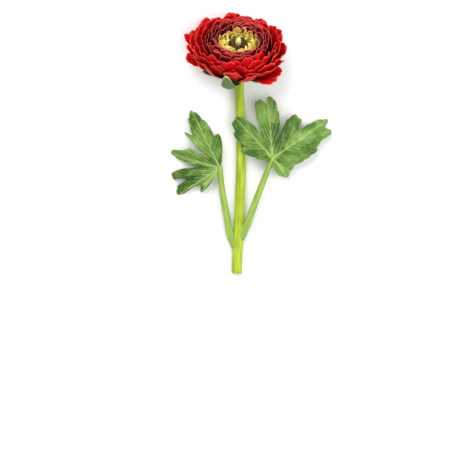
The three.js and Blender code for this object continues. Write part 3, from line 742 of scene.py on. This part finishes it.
def vein_lines(plan, radius):
    """Straight veins in plan, as (start, end, weight): from the foot to each lobe's tip, and branches to its rim."""
    last = len(plan) - 1
    tips = [i for i in range(1, last) if radius[i] >= radius[i - 1] and radius[i] > radius[i + 1]]
    parting = LOBE_PARTING * radius.max()
    dents = [i for i in range(1, last) if radius[i] < parting and radius[i] <= min(radius[i - 1:i + 2])]
    deep = [0, *dents, last]
    lines = []
    for low, high in zip(deep, deep[1:]):
        lobe = [i for i in tips if low < i < high]
        if not lobe:
            continue
        main = max(lobe, key=lambda i: radius[i])
        lines.append((np.zeros(2), plan[main], 1.0))
        for side in (low, high):
            for k in range(SIDE_VEINS):
                share = (k + 0.5) / SIDE_VEINS
                place = main + (side - main) * (1 - share) * 0.94
                before = int(place)
                end = plan[before] + (plan[min(before + 1, high)] - plan[before]) * (place - before)
                lines.append((plan[main] * (0.06 + 0.6 * share), end * 0.97, SIDE_VEIN_WEIGHT))
    return lines


def distance_to(lines, x, y):
    """The distance in plan to the nearest vein, thinner veins counting as further off."""
    best = np.full(x.shape, 1e9)
    for start, end, weight in lines:
        run = end - start
        along = np.clip(((x - start[0]) * run[0] + (y - start[1]) * run[1]) / (run @ run), 0, 1)
        away = np.hypot(x - start[0] - along * run[0], y - start[1] - along * run[1])
        best = np.minimum(best, away / (0.5 + 0.5 * weight) + 0.25 * along + 0.15 * (1 - weight))
    return best


def add_blade(surface, shape, seed, quilt, fold, thickness):
    """A lobed blade: rings that grow from its foot to its rim, quilted between its veins."""
    foot = np.array(shape.petiole[-1])
    degrees, reaches, heights = np.array(shape.rim).T
    plan = np.stack((reaches * np.cos(np.radians(degrees)), reaches * np.sin(np.radians(degrees)), heights), 1)
    rim, _ = smooth_line(plan, RIM_SPACING)
    order = np.arange(len(rim))
    wobble = 0.975 + 0.05 * np.abs(np.sin(order * 0.4 + seed)) + 0.015 * np.sin(order * 0.37 + 2 * seed)
    share = np.maximum(np.linspace(0, 1, BLADE_RINGS)[:, None] ** 0.9, 0.012)
    x = share * rim[:, 0] * wobble
    y = share * rim[:, 1] * wobble
    radius = np.hypot(rim[:, 0], rim[:, 1])
    z = foot[2] + (rim[:, 2] - foot[2]) * share**2 + shape.arch * (radius / reaches.max()) * np.sin(math.pi * share)
    veins = vein_lines(plan[:, :2], reaches)
    from_vein = distance_to(veins, x, y)
    from_main = distance_to([vein for vein in veins if vein[2] == 1.0], x, y)
    margin = (1 - share) * radius
    relief = quilt * (1 - bell(from_vein, 1.9)) * smooth(margin, -0.5, 2.5)
    relief = relief + fold * np.minimum(from_main, 7) * smooth(share, 0.1, 0.5)
    ruffle = 0.8 * np.sin(order * 0.32 + seed) * share**4 * smooth(radius, 8, 20)
    crinkle = 0.16 * np.sin(x * 1.9 + seed) * np.sin(y * 1.7 + 2 * seed) * smooth(share, 0.1, 0.5)
    swing = 2.0 * np.sin(4 * np.arctan2(y, x) + seed) * share**1.5
    z = ease_onto_table(z + relief + ruffle + crinkle + swing, LEAF_FLOOR)
    grid = np.stack((foot[0] + x, foot[1] + y, z), -1)
    taper = BLADE_RIM_SHARE + (1 - BLADE_RIM_SHARE) * smooth(margin, 0, 3)
    add_sheet(surface, grid, thickness * taper, vein=from_vein, edge=margin, reach=share)


def add_petiole(surface, shape):
    """A petiole, grooved along its top, that sheathes the stem at its foot and thins out under the blade."""
    route, _ = smooth_line(shape.petiole, PETIOLE_SPACING)
    direction = unit(route[-1] - route[-2])
    onwards, down = np.linspace(0.8, 5.5, PETIOLE_END), np.linspace(0.2, 0.9, PETIOLE_END)
    beyond = route[-1] + np.outer(onwards, direction) - np.outer(down, (0, 0, 1))
    line = np.vstack((route, beyond))
    share = np.minimum(1, np.arange(len(line)) / (len(route) - 1))
    taper = PETIOLE_RADIUS_FOOT + (PETIOLE_RADIUS_TOP - PETIOLE_RADIUS_FOOT) * share
    taper = taper + 0.9 * bell(share, 0.09)
    taper[len(route):] *= np.linspace(0.9, 0.12, PETIOLE_END)
    theta = angles(PETIOLE_SIDES)
    groove = 1 - 0.2 * bell(np.minimum(theta, 2 * math.pi - theta), 0.5)
    ribs = 0.03 * np.cos(9 * theta)
    rings = tube_rings(line, taper[:, None] * (groove + ribs), PETIOLE_SIDES)
    add_tube(surface, rings, along=np.arange(len(line)) * PETIOLE_SPACING)


# Settings that a user would change


def colour_setting(name, description, default):
    return FloatVectorProperty(name=name, description=description, subtype="COLOR", default=default)


def length_setting(name, description, millimetres):
    return FloatProperty(name=name, description=description, default=millimetres * MM, unit="LENGTH")


class PetalSettings(bpy.types.PropertyGroup):
    """Petal sizes and colours."""

    red_thickness: length_setting("Red petal thickness", "Thickness of an outer petal", 0.45)
    inner_thickness: length_setting("Inner petal thickness", "Thickness of the petals inside them", 0.34)
    red: colour_setting("Red", "Colour of the innermost red whorl", (0.6, 0.001, 0.005))
    red_outer: colour_setting("Outer red", "Colour of the outermost red whorl", (0.7, 0.005, 0.004))
    red_light: colour_setting("Light red", "Streaks on the red petals", (0.82, 0.012, 0.016))
    # Painted highlight along the rolled rims of the red petals
    red_rim_highlight: colour_setting("Red rim", "Rims of the red petals", (0.92, 0.12, 0.1))
    # Painted shade at the roots and backs of the red petals, and the darker tone of some petals
    red_deep_and_shade: colour_setting("Deep red", "Roots of the red petals", (0.08, 0.0, 0.003))
    dusky: colour_setting("Dusky", "Colour of the innermost dusky whorl", (0.2, 0.001, 0.006))
    dusky_outer: colour_setting("Outer dusky", "Colour of the outermost dusky whorl", (0.5, 0.004, 0.01))
    # Painted highlight along the rims of the innermost dusky whorl
    dusky_rim_highlight: colour_setting("Dusky rim", "Rims of the innermost dusky whorl", (0.84, 0.15, 0.13))
    yellow: colour_setting("Yellow", "Colour of the innermost yellow whorl", (0.92, 0.9, 0.07))
    bronze: colour_setting("Bronze", "Colour of the outermost yellow whorl", (0.76, 0.37, 0.08))
    # Painted highlight along the rims of the outermost yellow whorl
    bronze_rim_highlight: colour_setting("Bronze rim", "Rims of the outermost yellow whorl", (0.98, 0.66, 0.26))
    # Painted highlight along the rims of the innermost yellow whorl
    yellow_rim_highlight: colour_setting("Yellow rim", "Rims of the innermost yellow whorl", (1.0, 0.93, 0.38))


class GreenSettings(bpy.types.PropertyGroup):
    """Stem, calyx and leaf sizes and colours."""

    blade_thickness: length_setting("Blade thickness", "Thickness of a leaf blade", 0.5)
    rib_height: length_setting("Rib height", "Height of the ribs along the stem", 0.09)
    quilt: length_setting("Quilting", "How far the blade swells between its veins", 1.1)
    fold: FloatProperty(name="Fold", description="Rise of the blade to both sides of a vein, as a slope", default=0.45)
    hairs: IntProperty(name="Hairs", description="Fine hairs on the stem", default=700, min=0)
    stem: colour_setting("Stem", "Colour of the stem", (0.34, 0.46, 0.02))
    leaf: colour_setting("Leaf", "Colour of the leaves", (0.145, 0.285, 0.045))
    vein: colour_setting("Vein", "Colour of veins and margins", (0.42, 0.54, 0.17))
    sepal: colour_setting("Sepal", "Colour of the calyx", (0.12, 0.2, 0.05))


class StageSettings(bpy.types.PropertyGroup):
    """Camera, floor and lights."""

    lens: FloatProperty(name="Lens", description="Focal length", default=450, unit="CAMERA")
    picture_width: length_setting("Picture width", "Width that the picture takes in", 281.5)
    floor: colour_setting("Floor", "Colour of the floor", (0.9, 0.9, 0.89))
    key: FloatProperty(name="Key light", description="Power of the key light", default=12, unit="POWER")
    fill: FloatProperty(name="Fill light", description="Power of the fill light", default=14, unit="POWER")
    sky: FloatProperty(name="Sky", description="Strength of the pale surroundings", default=0.45)


class RanunculusSettings(bpy.types.PropertyGroup):
    """All settings of the flower and its stage."""

    petals: PointerProperty(type=PetalSettings)
    greens: PointerProperty(type=GreenSettings)
    stage: PointerProperty(type=StageSettings)


# Operators


class RANUNCULUS_OT_red_petals(bpy.types.Operator):
    """Builds the six outer whorls of broad red petals"""

    bl_idname = "ranunculus.red_petals"
    bl_label = "Red petals"

    def execute(self, context):
        petals = context.scene.ranunculus.petals
        # The deep colour, lit stretch and back share paint shade; the rim colours paint highlights
        material = petal_finish("red_petal_satin", petals.red_deep_and_shade, (petals.red_outer, petals.red), petals.red_light,
                                (petals.red_rim_highlight, petals.red_rim_highlight), rim_highlight_width=1.2, rim_highlight_share=0.35, gloss=0.3,
                                lit=(0.3, 0.9), painted_back_shade=0.1)
        build_whorls(RED_WHORLS, 0, RED_HABIT, petals.red_thickness / MM, material, "red")
        return {"FINISHED"}


class RANUNCULUS_OT_dusky_petals(bpy.types.Operator):
    """Builds the six middle whorls of dark petals, their rims lightened by a painted highlight"""

    bl_idname = "ranunculus.dusky_petals"
    bl_label = "Dusky petals"

    def execute(self, context):
        petals = context.scene.ranunculus.petals
        # The deep colour, lit stretch and back share paint shade; the rim colours paint highlights
        material = petal_finish("dusky_petal_satin", DUSKY_DEEP_AND_SHADE, (petals.dusky_outer, petals.dusky), DUSKY_LIGHT,
                                (DUSKY_OUTER_RIM_HIGHLIGHT, petals.dusky_rim_highlight), rim_highlight_width=0.65, rim_highlight_share=0.95, gloss=0.34,
                                lit=(0.74, 1.02), painted_back_shade=0.62)
        build_whorls(DUSKY_WHORLS, FIRST_DUSKY, DUSKY_HABIT, petals.inner_thickness / MM, material, "dusky")
        return {"FINISHED"}


class RANUNCULUS_OT_yellow_petals(bpy.types.Operator):
    """Builds the four inner whorls of narrow yellow petals"""

    bl_idname = "ranunculus.yellow_petals"
    bl_label = "Yellow petals"

    def execute(self, context):
        petals = context.scene.ranunculus.petals
        # The deep colour, lit stretch and back share paint shade; the rim colours paint highlights
        material = petal_finish("yellow_petal_satin", YELLOW_DEEP_AND_SHADE, (petals.bronze, petals.yellow), YELLOW_LIGHT,
                                (petals.bronze_rim_highlight, petals.yellow_rim_highlight), rim_highlight_width=0.9, rim_highlight_share=0.8, gloss=0.34,
                                lit=(0.34, 0.78), painted_back_shade=0.0)
        build_whorls(YELLOW_WHORLS, FIRST_YELLOW, YELLOW_HABIT, petals.inner_thickness / MM, material, "yellow")
        return {"FINISHED"}


class RANUNCULUS_OT_calyx(bpy.types.Operator):
    """Builds the receptacle and the five sepals under the bloom"""

    bl_idname = "ranunculus.calyx"
    bl_label = "Calyx"

    def execute(self, context):
        sepal = context.scene.ranunculus.greens.sepal
        material = green_finish("sepal_green_downy", sepal, SEPAL_LIGHT, SEPAL_DARK, SEPAL_RIM, gloss=0.5)
        surface = Surface()
        add_turned(surface, RECEPTACLE, RECEPTACLE_SIDES, 0.015, along=0.5, across=0.0, edge=3.0, tint=0.4, tone=0.0,
                   back=0.0)
        for i, (degrees, tip) in enumerate(SEPALS):
            add_petal(surface, SEPAL._replace(tip=tip), SEPAL_HABIT, math.radians(degrees), FIRST_SEPAL_ORDER + i,
                      SEPAL_THICKNESS)
        surface.piece("calyx_sepals", material, "sepal_green", "calyx")
        return {"FINISHED"}


class RANUNCULUS_OT_heart(bpy.types.Operator):
    """Builds the dark stamens and the cream bud in the middle of the bloom"""

    bl_idname = "ranunculus.heart"
    bl_label = "Heart"

    def execute(self, context):
        stamens = Surface()
        add_turned(stamens, HEART_FLOOR, HEART_SIDES, 0.03, round=0.0)
        for i in range(STAMENS):
            phi = 2 * math.pi * (i * STAMEN_TURN + 0.02 * draw(i, DRAW_STAMEN_TURN))
            r = STAMEN_RING + STAMEN_RING_WIDTH * (i * STAMEN_RING_STEP % 1)
            lean = r + 0.5 + 0.7 * draw(i, DRAW_STAMEN_LEAN)
            heights = np.array(STAMEN_HEIGHTS) + (0, 0, draw(i, DRAW_STAMEN_HEIGHT))
            foot, middle, head = bloom_point(np.array((r, (r + lean) / 2 - 0.15, lean)), phi, heights)
            line = np.stack((foot, middle, head, head + (head - middle) * 0.4, head + (head - middle) * 0.75))
            add_tube(stamens, tube_rings(line, np.array(STAMEN_RADII)[:, None], 6))
        material = speckled_finish("stamen_dark_matt", STAMEN_DARK, STAMEN_LIGHT, 900.0, 0.5)
        stamens.piece("stamens_and_floor", material, "stamen_dark", "stamens")
        bud = Surface()
        rounded, _ = smooth_line([(r, w, 0) for r, w in (*BUD[1:-1], (0.3, BUD[-1][1] - 0.1))], 0.35)
        profile = [BUD[0], *rounded[:, :2].tolist(), BUD[-1]]
        add_turned(bud, profile, HEART_SIDES, 0.02)
        material = speckled_finish("bud_cream_satin", BUD_CREAM, BUD_LIGHT, 350.0, 0.3)
        bud.piece("bud_egg", material, "bud_cream", "bud")
        return {"FINISHED"}


class RANUNCULUS_OT_stem(bpy.types.Operator):
    """Builds the ribbed stem and its fine hairs"""

    bl_idname = "ranunculus.stem"
    bl_label = "Stem"

    def execute(self, context):
        greens = context.scene.ranunculus.greens
        material = stem_finish("stem_green_satin", greens.stem, STEM_LIGHT, STEM_DARK)
        surface = Surface()
        add_stem(surface, greens.rib_height / MM)
        surface.piece("stem_ribbed", material, "stem_green", "stem")
        hairs = Surface()
        for i in range(greens.hairs):
            back = HAIRS_FROM + (HAIRS_TO - HAIRS_FROM) * (0.5 + 0.5 * draw(i, DRAW_HAIR_PLACE))
            turn = math.pi * draw(i, DRAW_HAIR_TURN)
            centre = stem_centre(back)
            normal = np.array((math.sin(turn), 0, math.cos(turn)))
            if centre[2] + normal[2] * HAIR_REACH < HAIR_CLEARANCE:
                continue
            lean = np.array((0.3 * draw(i, DRAW_HAIR_ACROSS), 0.5 * draw(i, DRAW_HAIR_ALONG), 0.0))
            length = HAIR_LENGTH * (1 + 0.5 * draw(i, DRAW_HAIR_LENGTH))
            add_hair(hairs, centre + normal * STEM_RADIUS_TOP, normal + lean, length, along=back, round=0.0)
        hairs.piece("stem_hairs", material, "stem_green", "stem")
        return {"FINISHED"}


class RANUNCULUS_OT_leaves(bpy.types.Operator):
    """Builds the two lobed stem leaves on their petioles"""

    bl_idname = "ranunculus.leaves"
    bl_label = "Leaves"

    def execute(self, context):
        greens = context.scene.ranunculus.greens
        blade_finish = leaf_finish("leaf_green_waxy", greens.leaf, LEAF_LIGHT, LEAF_DARK, greens.vein, LEAF_BLOOM_AND_SHEEN,
                                   LEAF_UNDER)
        petiole_finish = stem_finish("petiole_green", PETIOLE_GREEN, PETIOLE_LIGHT, PETIOLE_DARK)
        for name, shape, seed in (("leaf_right", LEAF_RIGHT, 1.0), ("leaf_left", LEAF_LEFT, 4.0)):
            blade = Surface()
            add_blade(blade, shape, seed, greens.quilt / MM, greens.fold, greens.blade_thickness / MM)
            blade.piece(f"{name}_blade", blade_finish, "leaf_green", name)
            petiole = Surface()
            add_petiole(petiole, shape)
            petiole.piece(f"{name}_petiole", petiole_finish, "leaf_green", name)
        return {"FINISHED"}


class RANUNCULUS_OT_stage(bpy.types.Operator):
    """Sets the camera straight above, the pale floor and the soft lights"""

    bl_idname = "ranunculus.stage"
    bl_label = "Stage"

    def execute(self, context):
        stage = context.scene.ranunculus.stage
        scene = context.scene
        scene.view_settings.view_transform = "Standard"
        target = (np.array(PICTURE_CENTRE) + SHIFT) * MM
        camera_data = bpy.data.cameras.new("camera")
        camera_data.lens = stage.lens
        camera_data.sensor_width = SENSOR_WIDTH
        camera_data.clip_start, camera_data.clip_end = 0.05, 100
        camera = in_scene("camera", camera_data)
        camera.location = (target[0], target[1], target[2] + stage.picture_width * stage.lens / SENSOR_WIDTH)
        scene.camera = camera
        half = FLOOR_SIDE / 2
        mesh = bpy.data.meshes.new("floor")
        mesh.from_pydata([(-half, -half, 0), (half, -half, 0), (half, half, 0), (-half, half, 0)], [], [(0, 1, 2, 3)])
        finish = Finish("floor_pale", Roughness=0.7, Specular_IOR_Level=0.2)
        grain = finish.noise(finish.own_place(), 90.0, 2.0)
        finish.set(Base_Color=finish.mix(grain, stage.floor, FLOOR_GRAIN))
        mesh.materials.append(finish.material)
        floor = in_scene("floor", mesh)
        world = bpy.data.worlds.new("pale_surroundings")
        world.use_nodes = True
        background = world.node_tree.nodes["Background"]
        background.inputs["Color"].default_value = SKY
        background.inputs["Strength"].default_value = stage.sky
        scene.world = world
        middle = np.array((0.0, 0.02, 0.02))
        for name, power, size, place in (
            ("key", stage.key, 0.8, (-0.3, 0.6, 1.15)),
            ("fill", stage.fill, 1.2, (0.6, -0.35, 1.2)),
        ):
            lamp_data = bpy.data.lights.new(name, "AREA")
            lamp_data.energy, lamp_data.size = power, size
            lamp = in_scene(name, lamp_data)
            lamp.location = place
            x, y, z = middle - place
            lamp.rotation_euler = math.atan2(math.hypot(x, y), -z), 0, math.atan2(y, x) - math.pi / 2
            lamp.visible_camera = False
        return {"FINISHED"}


OPERATORS = (
    RANUNCULUS_OT_stage,
    RANUNCULUS_OT_stem,
    RANUNCULUS_OT_calyx,
    RANUNCULUS_OT_red_petals,
    RANUNCULUS_OT_dusky_petals,
    RANUNCULUS_OT_yellow_petals,
    RANUNCULUS_OT_heart,
    RANUNCULUS_OT_leaves,
)


class RANUNCULUS_PT_panel(bpy.types.Panel):
    """Lists the operators and settings"""

    bl_label = "Ranunculus"
    bl_idname = "RANUNCULUS_PT_panel"
    bl_space_type = "VIEW_3D"
    bl_region_type = "UI"
    bl_category = "Ranunculus"

    def draw(self, context):
        for operator in OPERATORS:
            self.layout.operator(operator.bl_idname)
        settings = context.scene.ranunculus
        for group in (settings.petals, settings.greens, settings.stage):
            for name in group.__annotations__:
                self.layout.prop(group, name)


CLASSES = (PetalSettings, GreenSettings, StageSettings, RanunculusSettings, *OPERATORS, RANUNCULUS_PT_panel)


def register():
    for cls in CLASSES:
        bpy.utils.register_class(cls)
    bpy.types.Scene.ranunculus = PointerProperty(type=RanunculusSettings)


def unregister():
    del bpy.types.Scene.ranunculus
    for cls in reversed(CLASSES):
        bpy.utils.unregister_class(cls)


def main():
    register()
    for operator in OPERATORS:
        getattr(bpy.ops.ranunculus, operator.bl_idname.split(".")[1])()
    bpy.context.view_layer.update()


if __name__ == "__main__":
    main()
